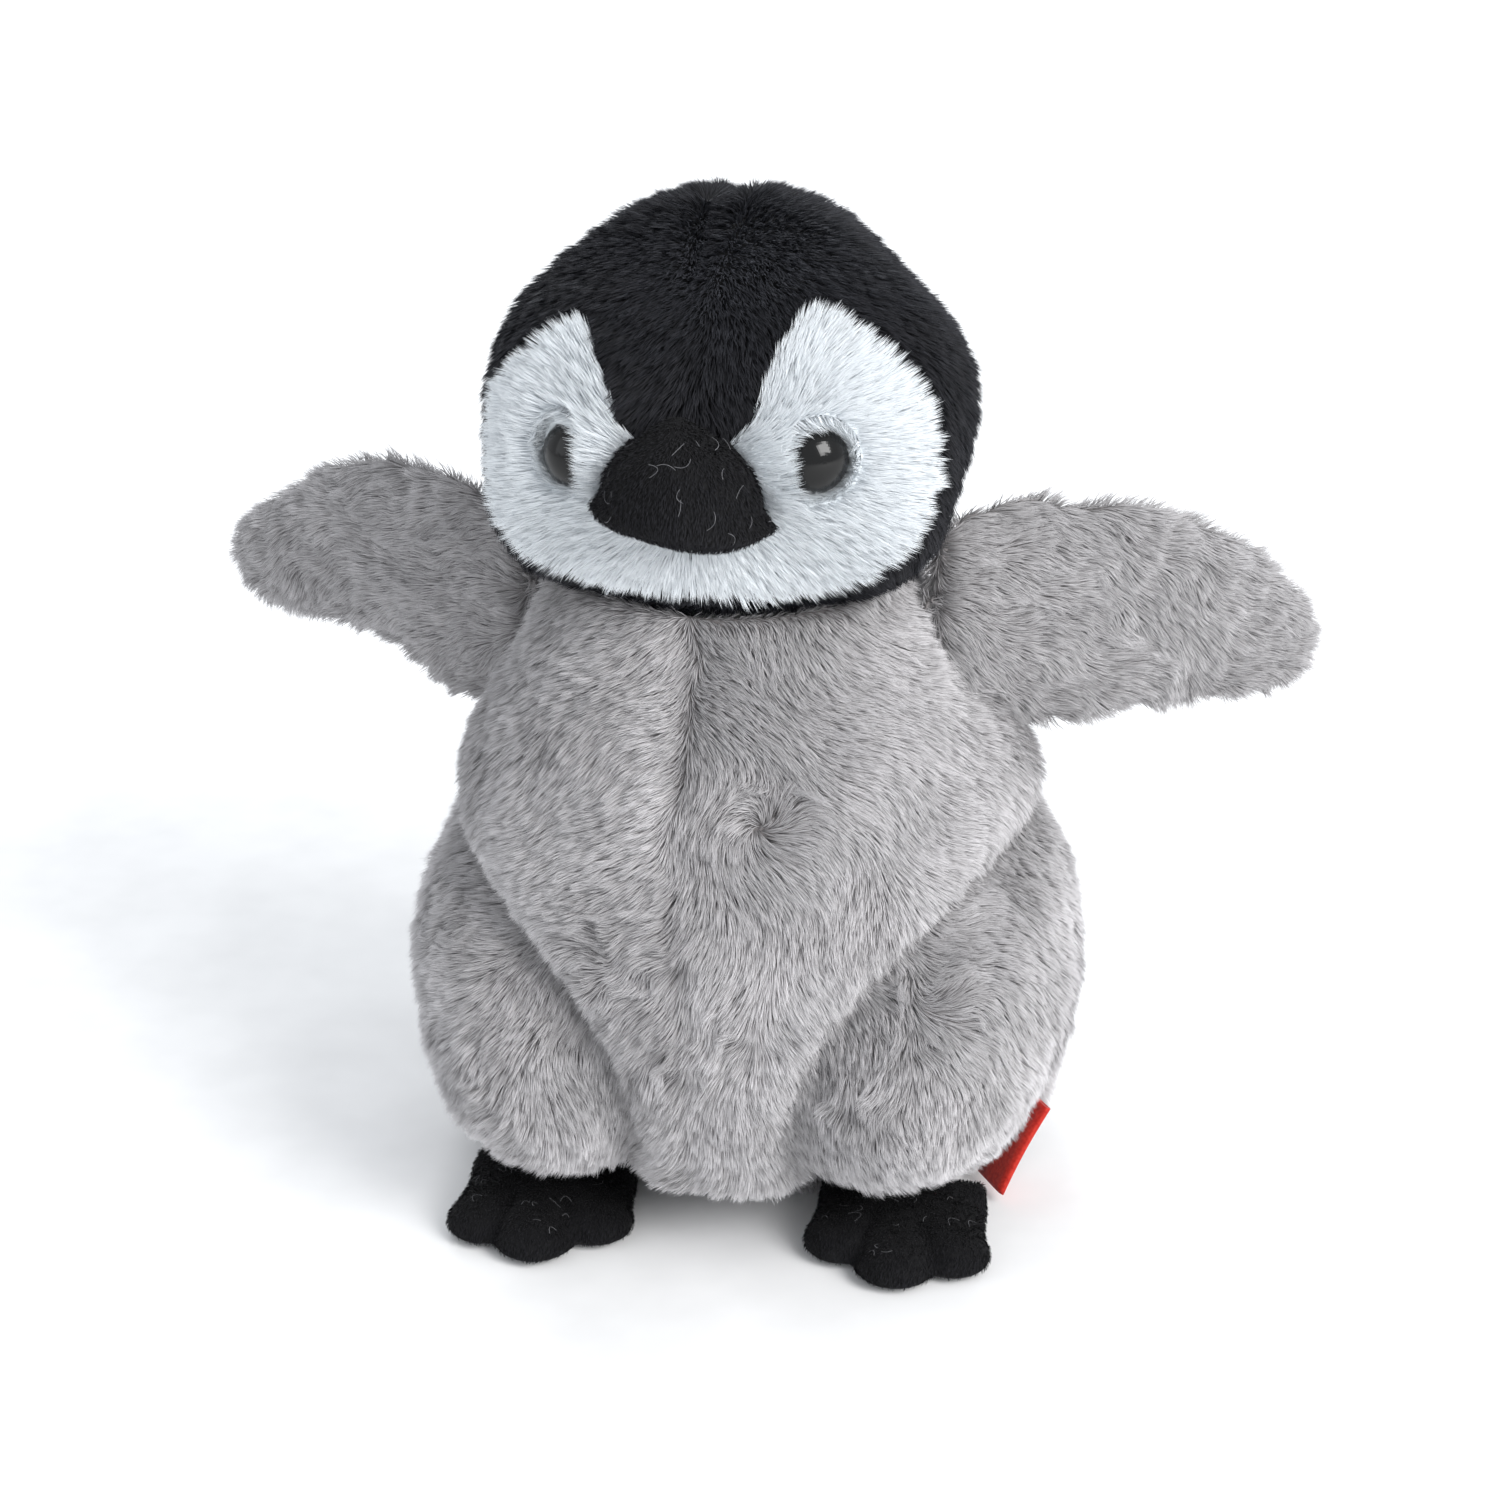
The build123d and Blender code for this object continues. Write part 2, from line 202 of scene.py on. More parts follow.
class Skin:
    """A closed quad skin as arrays, in mm: co, quads, normals."""

    def __init__(self, names, voxel, hulls=()):
        ob = bpy.data.objects.new("tmp", joined(names, hulls))
        scene.collection.objects.link(ob)
        remesh = ob.modifiers.new("remesh", "REMESH")
        remesh.mode = "VOXEL"
        remesh.voxel_size = voxel * MM
        me = bpy.data.meshes.new_from_object(ob.evaluated_get(bpy.context.evaluated_depsgraph_get()))
        self.take(me)
        bpy.data.objects.remove(ob)

    def take(self, me):
        """Reads a mesh into arrays; a triangle becomes a quad with a corner twice."""
        self.co = np.empty(len(me.vertices) * 3)
        me.vertices.foreach_get("co", self.co)
        self.co = self.co.reshape(-1, 3) / MM
        total = np.empty(len(me.polygons), np.int32)
        me.polygons.foreach_get("loop_total", total)
        loops = np.empty(len(me.loops), np.int32)
        me.loops.foreach_get("vertex_index", loops)
        start = np.empty(len(me.polygons), np.int32)
        me.polygons.foreach_get("loop_start", start)
        self.quads = np.stack([loops[start], loops[start + 1], loops[start + 2],
                               loops[start + np.where(total == 4, 3, 2)]], axis=1)
        self.edges = np.empty(len(me.edges) * 2, np.int32)
        me.edges.foreach_get("vertices", self.edges)
        self.edges = self.edges.reshape(-1, 2)
        self.measure()

    def measure(self):
        """Works the normals out again."""
        a, b, c, d = (self.co[self.quads[:, k]] for k in range(4))
        face_normal = np.cross(c - a, d - b)
        self.normal = np.zeros_like(self.co)
        for k in range(4):
            np.add.at(self.normal, self.quads[:, k], face_normal)
        self.normal = unit(self.normal)

    def relax(self, rounds):
        """Moves each vertex half way to the middle of its neighbours, a few times."""
        count = np.bincount(self.edges.ravel(), minlength=len(self.co))[:, None]
        for _ in range(rounds):
            around = np.zeros_like(self.co)
            np.add.at(around, self.edges[:, 0], self.co[self.edges[:, 1]])
            np.add.at(around, self.edges[:, 1], self.co[self.edges[:, 0]])
            self.co += (around / np.maximum(count, 1) - self.co) * 0.5
        self.measure()

    def push(self, amount):
        """Moves each vertex along its normal by amount, one number or one each."""
        self.co += self.normal * (np.asarray(amount).reshape(-1, 1) if np.ndim(amount) else amount)
        self.measure()

    def object(self, name, mats, body, slot):
        me = make_mesh(name, self.co, self.quads.ravel(), np.full(len(self.quads), 4))
        me.validate()
        return add(name, me, mats, body, slot)

    def sample(self, per_mm2, rng):
        """Random points on the skin with their normals."""
        a, b, c, d = (self.quads[:, k] for k in range(4))
        tri = np.concatenate([np.stack([a, b, c], 1), np.stack([a, c, d], 1)])
        p0, p1, p2 = (self.co[tri[:, k]] for k in range(3))
        area = np.linalg.norm(np.cross(p1 - p0, p2 - p0), axis=1) / 2
        n = int(area.sum() * per_mm2)
        pick = np.searchsorted(np.cumsum(area), rng.random(n) * area.sum())
        pick = np.minimum(pick, len(tri) - 1)
        u, v = rng.random(n), rng.random(n)
        flip = u + v > 1
        u[flip], v[flip] = 1 - u[flip], 1 - v[flip]
        w = np.stack([1 - u - v, u, v], axis=1)
        t = tri[pick]
        p = sum(self.co[t[:, k]] * w[:, k:k + 1] for k in range(3))
        m = unit(sum(self.normal[t[:, k]] * w[:, k:k + 1] for k in range(3)))
        return p, m


# ------------------------------------------------------------ pile
DENS = 1.0       # share of the blades that is made
STEPS = (0.0, 0.55, 1.0)            # along a blade: root, bend and tip
TAPER = 0.62
CHUNK = 60000                       # blades in one piece
FLOOR_GAP = 0.2
SHORTEST = 0.4


def strands(p, n, comb, length, width, lift, tone, rng, clump=2.0, pull=0.35, wave=0.25,
            droop=0.5, patchy=0.22, seed=1):
    """Curved tapered blades, gathered in tufts; returns vertices, faces and map coordinates."""
    m = len(p)
    t = unit(comb - n * (comb * n).sum(1, keepdims=True))
    t = t + noise3(p, 1.3, seed + 5) * 0.16 + rng.normal(0, 0.10, (m, 3))
    t = unit(t - n * (t * n).sum(1, keepdims=True))
    at, tag = clumps(p, clump, seed)
    length = length * (0.80 + 0.28 * tag + rng.normal(0, 0.06, m))
    lift = lift + (tag - 0.5) * 0.35 + rng.normal(0, 0.10, m)
    low = lift * droop
    reach = length[:, None]
    mid = p + reach * 0.5 * (n * np.sin(lift)[:, None] + t * np.cos(lift)[:, None])
    end = mid + reach * 0.55 * (n * np.sin(low)[:, None] + t * np.cos(low)[:, None])
    gather = at - p
    gather -= n * (gather * n).sum(1, keepdims=True)
    end = end + gather * pull
    mid = mid + gather * pull * 0.4
    side = np.cross(t, n)
    mid = mid + side * (rng.normal(0, wave, m) * length * 0.12)[:, None]
    roll = rng.normal(0, 0.55, m)
    rings = []
    for s in STEPS:
        c = p * (1 - s) ** 2 + mid * (2 * s * (1 - s)) + end * s * s
        d = unit((mid - p) * (1 - s) + (end - mid) * s)
        across = unit(np.cross(d, n))
        out = np.cross(across, d)
        across = across * np.cos(roll)[:, None] + out * np.sin(roll)[:, None]
        if s < 1:
            w = (width * (1.0 - TAPER * s))[:, None] * 0.5
            rings += [c - across * w, c + across * w]
        else:
            rings.append(c)
    co = np.stack(rings, axis=1).reshape(-1, 3)
    co[:, 2] = np.maximum(co[:, 2], FLOOR_GAP)
    corner = np.array([0, 1, 3, 2, 2, 3, 4])
    faces = (np.arange(m)[:, None] * len(rings) + corner).ravel()
    sizes = np.tile([4, 3], m)
    tone = np.clip(tone + (tag - 0.5) * patchy + rng.normal(0, 0.10, m), 0.03, 0.97)
    uv = np.empty((m, len(corner), 2))
    uv[:, :, 0] = tone[:, None] + np.array([-1, 1, 1, -1, -1, 1, 0]) * 0.006
    uv[:, :, 1] = 0.02 + 0.96 * np.array([0, 0, STEPS[1], STEPS[1], STEPS[1], STEPS[1], 1.0])
    return co, faces, sizes, uv.reshape(-1, 2)


def level(value):
    """A field that has the same value everywhere."""
    return lambda p, n: np.full(len(p), value)


def grow(name, skin, mat, body, slot, per_mm2, where, comb, length, lift, width, tone, seed, **more):
    """Covers part of a skin with pile, cut into pieces small enough to export whole.

    where, comb, length, lift and tone are fields: functions of points and their normals.
    """
    rng = np.random.default_rng(seed)
    p, n = skin.sample(per_mm2, rng)
    keep = where(p, n)
    p, n = p[keep], n[keep]
    made = []
    for k in range(0, len(p), CHUNK):
        q, m = p[k:k + CHUNK], n[k:k + CHUNK]
        ln = length(q, m)
        ok = ln > SHORTEST
        q, m, ln = q[ok], m[ok], ln[ok]
        if not len(q):
            continue
        co, faces, sizes, uv = strands(
            q, m, comb(q, m), ln, width * (0.75 + 0.5 * rng.random(len(q))), lift(q, m), tone(q, m),
            rng, seed=seed, **more)
        me = make_mesh(name, co, faces, sizes, uv)
        part = name if len(p) <= CHUNK else "%s_%d" % (name, k // CHUNK + 1)
        made.append(add(part, me, mat, body, slot))
    return made


# ------------------------------------------------------------ materials
def ramp_material(name, stops, dark=0.75, light=1.2, rough=0.8, sheen=0.3, tint=(1, 1, 1)):
    """Pile: colour runs from a dark root to a pale tip along v, the dark root being painted shade deep in
    the pile, and each blade has its tone in u.
    """
    mat = bpy.data.materials.new(name)
    mat.use_nodes = True
    nt = mat.node_tree
    bsdf = nt.nodes["Principled BSDF"]
    uv = nt.nodes.new("ShaderNodeUVMap")
    uv.uv_map = "OFBake"
    sep = nt.nodes.new("ShaderNodeSeparateXYZ")
    nt.links.new(uv.outputs["UV"], sep.inputs[0])
    ramp = nt.nodes.new("ShaderNodeValToRGB")
    while len(ramp.color_ramp.elements) < len(stops):
        ramp.color_ramp.elements.new(0.5)
    for e, (pos, col) in zip(ramp.color_ramp.elements, stops):
        e.position, e.color = pos, (*col, 1)
    nt.links.new(sep.outputs["Y"], ramp.inputs[0])
    tone = nt.nodes.new("ShaderNodeMapRange")
    tone.inputs["To Min"].default_value = dark
    tone.inputs["To Max"].default_value = light
    nt.links.new(sep.outputs["X"], tone.inputs["Value"])
    mix = nt.nodes.new("ShaderNodeVectorMath")
    mix.operation = "SCALE"
    nt.links.new(ramp.outputs["Color"], mix.inputs[0])
    nt.links.new(tone.outputs["Result"], mix.inputs["Scale"])
    nt.links.new(mix.outputs["Vector"], bsdf.inputs["Base Color"])
    bsdf.inputs["Roughness"].default_value = rough
    bsdf.inputs["Specular IOR Level"].default_value = 0.25
    bsdf.inputs["Sheen Weight"].default_value = sheen
    bsdf.inputs["Sheen Roughness"].default_value = 0.5
    bsdf.inputs["Sheen Tint"].default_value = (*tint, 1)
    return mat


def cloth_material(name, low, high, scale=900.0, rough=0.9, sheen=0.2, bump=0.25, blotch=60.0):
    """Felt or backing: fine fibre noise over broad patches, with bump."""
    mat = bpy.data.materials.new(name)
    mat.use_nodes = True
    nt = mat.node_tree
    bsdf = nt.nodes["Principled BSDF"]
    co = nt.nodes.new("ShaderNodeTexCoord")
    fine = nt.nodes.new("ShaderNodeTexNoise")
    fine.inputs["Scale"].default_value = scale
    fine.inputs["Detail"].default_value = 6
    broad = nt.nodes.new("ShaderNodeTexNoise")
    broad.inputs["Scale"].default_value = blotch
    for t in (fine, broad):
        nt.links.new(co.outputs["Object"], t.inputs["Vector"])
    both = nt.nodes.new("ShaderNodeMath")
    both.operation = "MULTIPLY_ADD"
    both.inputs[1].default_value = 0.35
    nt.links.new(broad.outputs["Fac"], both.inputs[0])
    nt.links.new(fine.outputs["Fac"], both.inputs[2])
    ramp = nt.nodes.new("ShaderNodeValToRGB")
    ramp.color_ramp.elements[0].position, ramp.color_ramp.elements[0].color = 0.45, (*low, 1)
    ramp.color_ramp.elements[1].position, ramp.color_ramp.elements[1].color = 0.85, (*high, 1)
    nt.links.new(both.outputs[0], ramp.inputs[0])
    nt.links.new(ramp.outputs["Color"], bsdf.inputs["Base Color"])
    bp = nt.nodes.new("ShaderNodeBump")
    bp.inputs["Strength"].default_value = bump
    bp.inputs["Distance"].default_value = 0.0004
    nt.links.new(fine.outputs["Fac"], bp.inputs["Height"])
    nt.links.new(bp.outputs["Normal"], bsdf.inputs["Normal"])
    bsdf.inputs["Roughness"].default_value = rough
    bsdf.inputs["Specular IOR Level"].default_value = 0.25
    bsdf.inputs["Sheen Weight"].default_value = sheen
    bsdf.inputs["Sheen Roughness"].default_value = 0.4
    return mat


# the dark root stops of these piles and of the fuzz below are painted shade deep in the pile
grey_fur = ramp_material("grey_pile", [(0.0, (0.20, 0.19, 0.192)), (0.45, (0.40, 0.387, 0.392)),
                                       (1.0, (0.61, 0.598, 0.61))], 0.73, 1.28, sheen=0.35)
black_fur = ramp_material("black_pile", [(0.0, (0.003, 0.003, 0.004)), (0.6, (0.010, 0.010, 0.012)),
                                         (1.0, (0.022, 0.022, 0.026))], 0.6, 1.5, rough=0.7,
                          sheen=0.10, tint=(0.7, 0.75, 0.9))
white_fur = ramp_material("white_pile", [(0.0, (0.68, 0.71, 0.74)), (0.5, (0.76, 0.79, 0.815)),
                                         (1.0, (0.80, 0.83, 0.85))], 0.95, 1.07, sheen=0.1)
grey_back = cloth_material("grey_backing", (0.13, 0.12, 0.12), (0.24, 0.225, 0.225))
black_back = cloth_material("black_backing", (0.002, 0.002, 0.003), (0.008, 0.008, 0.009))
white_back = cloth_material("white_backing", (0.62, 0.66, 0.69), (0.76, 0.80, 0.82))
felt = cloth_material("black_felt", (0.0016, 0.0016, 0.002), (0.006, 0.006, 0.007), 1400, sheen=0.03,
                      bump=0.5)
fuzz = ramp_material("black_fuzz", [(0.0, (0.002, 0.002, 0.0026)), (1.0, (0.014, 0.014, 0.0175))],
                     0.5, 1.7, sheen=0.03)
lint = cloth_material("lint", (0.12, 0.12, 0.13), (0.25, 0.25, 0.26), sheen=0, bump=0)
fluff = cloth_material("filling", (0.70, 0.70, 0.68), (0.90, 0.90, 0.88), 500, sheen=0.3)

# ------------------------------------------------------------ camera, floor, light
# the camera is fitted to the photograph: a long lens, the way that it looks and where it aims
AZ, EL = math.radians(7.5), math.radians(25.0)
AIM, FAR = Vector((1.058, 0, 86.75)) * MM, 641.03 * MM
back = Vector((math.sin(AZ) * math.cos(EL), -math.cos(AZ) * math.cos(EL), math.sin(EL)))
right = Vector((math.cos(AZ), math.sin(AZ), 0))
up = back.cross(right)
cam = bpy.data.cameras.new("camera")
cam.lens, cam.sensor_width = 80.0, 36.0
cam.clip_start = 0.01
cam_ob = bpy.data.objects.new("camera", cam)
scene.collection.objects.link(cam_ob)
cam_ob.matrix_world = Matrix((
    (right.x, up.x, back.x, AIM.x + back.x * FAR), (right.y, up.y, back.y, AIM.y + back.y * FAR),
    (right.z, up.z, back.z, AIM.z + back.z * FAR), (0, 0, 0, 1)))
scene.camera = cam_ob

floor_mat = cloth_material("floor", (0.82, 0.82, 0.82), (0.88, 0.88, 0.88), 30, sheen=0, bump=0.02)
floor_corners = np.array([(-1, -1, 0), (1, -1, 0), (1, 1, 0), (-1, 1, 0)]) * 3000.0
floor = add("floor", make_mesh("floor", floor_corners, np.arange(4), np.array([4])), floor_mat)


def area(name, at, aim, size, watts, colour):
    """A square lamp, in metres, pointed at a place."""
    lamp = bpy.data.lights.new(name, "AREA")
    lamp.energy, lamp.size, lamp.color = watts, size, colour
    ob = bpy.data.objects.new(name, lamp)
    scene.collection.objects.link(ob)
    ob.location = at
    ob.rotation_euler = (Vector(aim) - Vector(at)).to_track_quat("-Z", "Y").to_euler()


area("key", (1.0, -0.75, 0.95), (0, 0, 0.09), 0.8, 24.0, (1.0, 0.995, 0.99))
area("fill", (-1.1, -0.7, 0.6), (0, 0, 0.09), 0.9, 2.0, (0.93, 0.96, 1.0))
area("rim", (-0.4, 1.1, 0.9), (0, 0, 0.12), 0.7, 7.0, (0.95, 0.97, 1.0))
world = bpy.data.worlds.new("world")
world.use_nodes = True
world.node_tree.nodes["Background"].inputs["Color"].default_value = (0.93, 0.96, 1.0, 1)
world.node_tree.nodes["Background"].inputs["Strength"].default_value = 0.84
scene.world = world
scene.view_settings.view_transform = "Standard"


# ------------------------------------------------------------ torso
def lobe_distance(p, side):
    """About how far outside a thigh lobe a point is, in mm."""
    q = (p - LOBE * (side, 1, 1))
    c, s = math.cos(LOBE_LEAN), math.sin(LOBE_LEAN) * side
    x, z = q[:, 0] * c - q[:, 2] * s, q[:, 0] * s + q[:, 2] * c
    r = np.sqrt((x / LOBE_R[0]) ** 2 + (q[:, 1] / LOBE_R[1]) ** 2 + (z / LOBE_R[2]) ** 2)
    return (r - 1) * 34.0


def lobe_of(p):
    """About how far outside both thigh lobes a point is, in mm."""
    return np.minimum(lobe_distance(p, 1), lobe_distance(p, -1))


def seam_at(p):
    """Where the front seam is across, wandering a little on its way down."""
    return SEAM_X + noise(p * (0, 0, 1), 17, 6) * 0.9


def seat_value(p, grow=0.0):
    """Below 1 inside the hollow that the head sits in, widened by grow mm."""
    return np.linalg.norm((p - HEAD) / (SEAT_R + grow), axis=1)


def shoulder_points(side, sx):
    """Points of the torso's outside around a shoulder; their hull closes the flipper's hollow."""
    p = node_points(["torso_front_%s_panel" % side, "torso_back_%s_panel" % side])
    return p[(p[:, 0] * sx > 24) & (p[:, 2] > 84) & (p[:, 2] < 131)]


def press_creases(skin):
    """Backing under the pile: creases round the lobes, the two seams, folds and dents."""
    fixed = (skin.co[:, 2] < 0.8) | (seat_value(skin.co, 1.0) < 1)
    skin.push(np.where(fixed, -0.2, -TORSO_DEEP))
    p = skin.co
    x, y, z = p.T
    crease = np.exp(-((lobe_of(p) - 0.8) / 2.4) ** 2) * (y < 20) * (z > 6)
    seam = np.exp(-((x - seam_at(p)) / 1.8) ** 2) * (z > 8) * (y < 0)
    back_seam = np.exp(-(x / 1.8) ** 2) * (z > 8) * (y > 0)
    folds = noise(p * (1, 1, 0.35), 6, 4) * smooth(-lobe_of(p), -1, 5)
    skin.push((noise(p, 14, 3) * 0.7 + folds * 1.2 - crease * 4.4 - (seam + back_seam) * 1.0) * ~fixed)
    skin.relax(2)


def lean_torso(p):
    """The photographed toy's own shape: its lean, its clear belly edge and its fuller side."""
    p[:, 0] += SIDE_LEAN * smooth(p[:, 2], 4, 30) * smooth(-p[:, 2], -100, -60)
    under = smooth(-p[:, 1], 14, 34) * smooth(-p[:, 2], -20, -3)
    p += under[:, None] * (0, BELLY_BACK, BELLY_LIFT)
    for at, r, more in FULLER:
        p[:, 0] += more * np.exp(-(((p - at) / r) ** 2).sum(axis=1))
    waist = smooth(-p[:, 2], -96, -70) * smooth(p[:, 2], 12, 26)
    p[:, 0] += SLIM_RIGHT * smooth(-p[:, 0], 40, 60) * waist
    p[:, 0] -= SLIM_LEFT * smooth(p[:, 0], 40, 60) * waist
    p[:, 2] = np.maximum(p[:, 2], 0.15)


torso_nodes = [n for n in nodes if n.startswith("torso_")] + [
    side + k for side in ("left", "right") for k in ("_haunch_panel", "_haunch_stuffing")]
torso = Skin(torso_nodes, 1.7, [shoulder_points("left", 1), shoulder_points("right", -1)])
torso.relax(3)
press_creases(torso)
lean_torso(torso.co)
torso.measure()
torso_ob = torso.object("torso_skin", grey_back, "torso", "grey_plush")
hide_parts(*torso_nodes)


def matted(p):
    """1 in the middle of a matted place, fading outwards."""
    return np.max([np.exp(-(((p - at) / r) ** 2).sum(axis=1)) for at, r in MATTED], axis=0)


def covered(z):
    """1 at the heights where tufts cross the front seam and hide it."""
    return smooth(z, 86, 94) * (1 - smooth(z, 103, 107) * smooth(-z, -123, -118))


def torso_comb(p, n):
    """Down, fanning out from the chin and parting along the front seam, with swirls."""
    x, z = p[:, 0] - seam_at(p), p[:, 2]
    side = np.tanh((x + noise(p, 6, 14) * 2.6 * (p[:, 1] < 0) * covered(z)) / 0.8)
    front = smooth(-p[:, 1], 0, 30)
    t = np.zeros_like(p)
    t[:, 2] = -1.0
    t[:, 0] = side * front * (0.25 + 0.9 * np.exp(-np.abs(x) / 14) * smooth(z, 60, 110))
    t[:, 0] += side * (1 - front) * 0.2
    t[:, 0] += side * 0.15 * smooth(-z, -40, -15)
    swirl = noise(p, 22, 11) * 0.9 + noise(p, 9, 12) * 0.55 + noise(p, 4, 13) * matted(p) * 2.1
    t = t * np.cos(swirl)[:, None] + np.cross(n, t) * np.sin(swirl)[:, None]
    q = p - SWIRL
    near = np.exp(-(np.linalg.norm(q, axis=1) / SWIRL_R) ** 2)[:, None]
    return t * (1 - near) + unit(np.cross(n, q) + q * 0.5) * near * 1.4


def torso_length(p, n):
    """Shorter at the base and at the collar; none underneath or inside the head's hollow."""
    ln = TORSO_PILE + noise(p, 11, 21) * 0.5
    ln = ln * (0.5 + 0.5 * smooth(p[:, 2], 1, 14)) * (0.55 + 0.45 * smooth(seat_value(p), 1.0, 1.12))
    return np.where((p[:, 2] < 1.2) | (seat_value(p, 0.3) < 1), 0.0, ln)


def torso_tone(p, n):
    """Painted shade in the creases and along the seam's parting, a painted highlight on the ridge beside the
    seam, painted light on the left of the front, mottled, and paler low down.
    """
    t = 0.5 + noise(p, 7, 31) * 0.20 + noise(p, 2.6, 32) * 0.12
    # painted shade where the lobes crease into the torso
    crease = np.exp(-((lobe_of(p) - 1.0) / 3.0) ** 2) * (p[:, 1] < 20)
    # painted shade in the seam's parting, weaker where tufts cover it
    seam = np.exp(-((p[:, 0] - seam_at(p)) / 1.6) ** 2) * (p[:, 1] < 0)
    seam *= smooth(p[:, 2], 42, 50) * (1 - 0.8 * covered(p[:, 2]))
    # painted highlight on the ridge of tufts beside the seam
    ridge_highlight = np.exp(-((p[:, 0] - SEAM_X + 4) / 3.0) ** 2) * (p[:, 1] < 0) * smooth(p[:, 2], 90, 104)
    streaks = noise(p * (1, 1, 0.35), 4.5, 33) * smooth(-lobe_of(p), -1, 5)
    t += 0.34 * smooth(-p[:, 2], -50, -8) - 0.04 * smooth(p[:, 2], 60, 110)
    # painted light: the front's left side is paler, on the side where the key lamp falls
    t += 0.14 * smooth(p[:, 0], 0, 30) * (p[:, 1] < 0)
    flecks = matted(p) * (0.26 - 0.50 * noise(p, 1.9, 34))
    return t - 0.40 * crease - 0.32 * seam + 0.28 * ridge_highlight + 0.22 * streaks - flecks


def torso_lift(p, n):
    """How steeply the pile stands; uneven where it is matted."""
    return 0.95 + noise(p, 8, 41) * 0.20 + noise(p, 3, 42) * 0.6 * matted(p)


def torso_part(place, sx):
    """Test for the points of one side's front, back or haunch."""
    def inside(p, n):
        lobe = lobe_distance(p, sx) <= 0
        here = {"front": (p[:, 1] < SIDE_Y) & ~lobe, "back": (p[:, 1] >= SIDE_Y) & ~lobe, "haunch": lobe}
        return (p[:, 0] * sx > 0) & here[place]
    return inside


for side, sx in (("left", 1), ("right", -1)):
    for place, dense, patchy, clump, pull in (("front", 11.5, 0.15, 1.6, 0.2), ("back", 7.0, 0.15, 1.6, 0.2),
                                              ("haunch", 11.5, 0.24, 2.0, 0.35)):
        name = place + "_" + side
        grow("pile_torso_" + name, torso, grey_fur, "torso", "grey_plush", dense * DENS,
             torso_part(place, sx), torso_comb, torso_length, torso_lift, 0.66 / (dense * DENS) ** 0.5,
             torso_tone, 100 + len(name) + sx, patchy=patchy, clump=clump, pull=pull)

# ------------------------------------------------------------ head
head_nodes = ["left_hood_panel", "right_hood_panel", "left_cheek_panel", "right_cheek_panel",
              "chin_panel", "head_stuffing"]
head = Skin(head_nodes, 1.3)
head.relax(3)


def eye_place(sx, deeper, lower):
    """The middle of an eye's dome and the way that it faces."""
    across, up = (EYE[0] / HEAD_R[0]) ** 2, ((EYE[1] - HEAD[2]) / HEAD_R[2]) ** 2
    at = np.array((EYE[0] * sx, HEAD[1] - HEAD_R[0] * math.sqrt(1 - across - up), EYE[1]))
    ax = (at - HEAD) / HEAD_R ** 2
    ax /= np.linalg.norm(ax)
    return at - ax * (EYE_SINK + deeper) - (0, 0, lower), ax


eyes = {"left_eye": eye_place(1, 0.0, 0.0), "right_eye": eye_place(-1, FAR_EYE_SINK, FAR_EYE_DROP)}


def eye_distance(p):
    """How far a point is from the nearer eye's middle."""
    return np.min([np.linalg.norm(p - centre, axis=1) for centre, ax in eyes.values()], axis=0)


def bump(p, at, size):
    """1 at a place and at its mirror image, fading over size mm."""
    return np.exp(-(((np.abs(p) * (1, 0, 0) + p * (0, 1, 1) - at) / size) ** 2).sum(1))


# fuller at the chin, in the cheeks and beside the beak, and leaner at the upper sides
head.push(-HEAD_DEEP + 0.8 * smooth(-head.co[:, 2], -142, -134) + 8.0 * bump(head.co, (37, -40, 141), 15)
          - 5.2 * bump(head.co, (31, -5, 186), 15) + 1.0 * bump(head.co, (0, -40, 130), 12)
          + 2.8 * bump(head.co, NASAL, NASAL_R))
crown = np.exp(-(head.co[:, 0] / 2.6) ** 2) * smooth(head.co[:, 2], 188, 198)
head.push(-crown * 1.8)
head.relax(2)
head_ob = head.object("head_skin", [black_back, white_back], "head", "black_plush")
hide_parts(*head_nodes)
head_pieces = [head_ob]

# half of the white patch's outline from the front: chin, side, brow and down beside the beak
CHEEK = [(0, 137.6), (7, 136.5), (17, 136.5), (23, 137.8), (29.5, 140.6), (35.5, 144.2), (39.6, 149.8),
         (41.4, 157), (41.1, 165), (39.8, 171.3), (36.8, 177.2), (32, 182.8), (26.5, 187.6),
         (21.5, 190.3), (19, 189.6), (17.2, 187), (15.4, 183.8), (13.9, 180.5), (13.1, 177),
         (12, 174), (10, 171.8), (8, 170.6), (9.6, 166.5), (0, 166.5)]


def in_cheek(p):
    """True inside the white face patch, seen from the front; the edge wavers a little."""
    x = np.abs(p[:, 0]) + noise(p, 2.2, 51) * 0.5
    z = p[:, 2] + noise(p, 2.2, 52) * 0.5 + 2.6 * (p[:, 0] < 0) * smooth(p[:, 2], 170, 184)
    inside = np.zeros(len(p), bool)
    for (x0, z0), (x1, z1) in zip(CHEEK, CHEEK[1:] + CHEEK[:1]):
        cross = (z0 > z) != (z1 > z)
        if z1 != z0:
            inside ^= cross & (x < (x1 - x0) * (z - z0) / (z1 - z0) + x0)
    return inside & (p[:, 1] < HEAD[1] - 4)


def turned(t, n, angle):
    """Directions turned about the normals."""
    return t * np.cos(angle)[:, None] + np.cross(n, t) * np.sin(angle)[:, None]


def cheek_comb(p, n):
    """Outward from the beak, turning up along the brow."""
    t = unit(p - (BEAK + (0, 12, 0)))
    brow = smooth(p[:, 2], 168, 180) * smooth(-np.abs(p[:, 0]), -26, -14)
    t[:, 2] += 0.9 * brow
    return turned(t, n, noise(p, 9, 61) * 0.3)


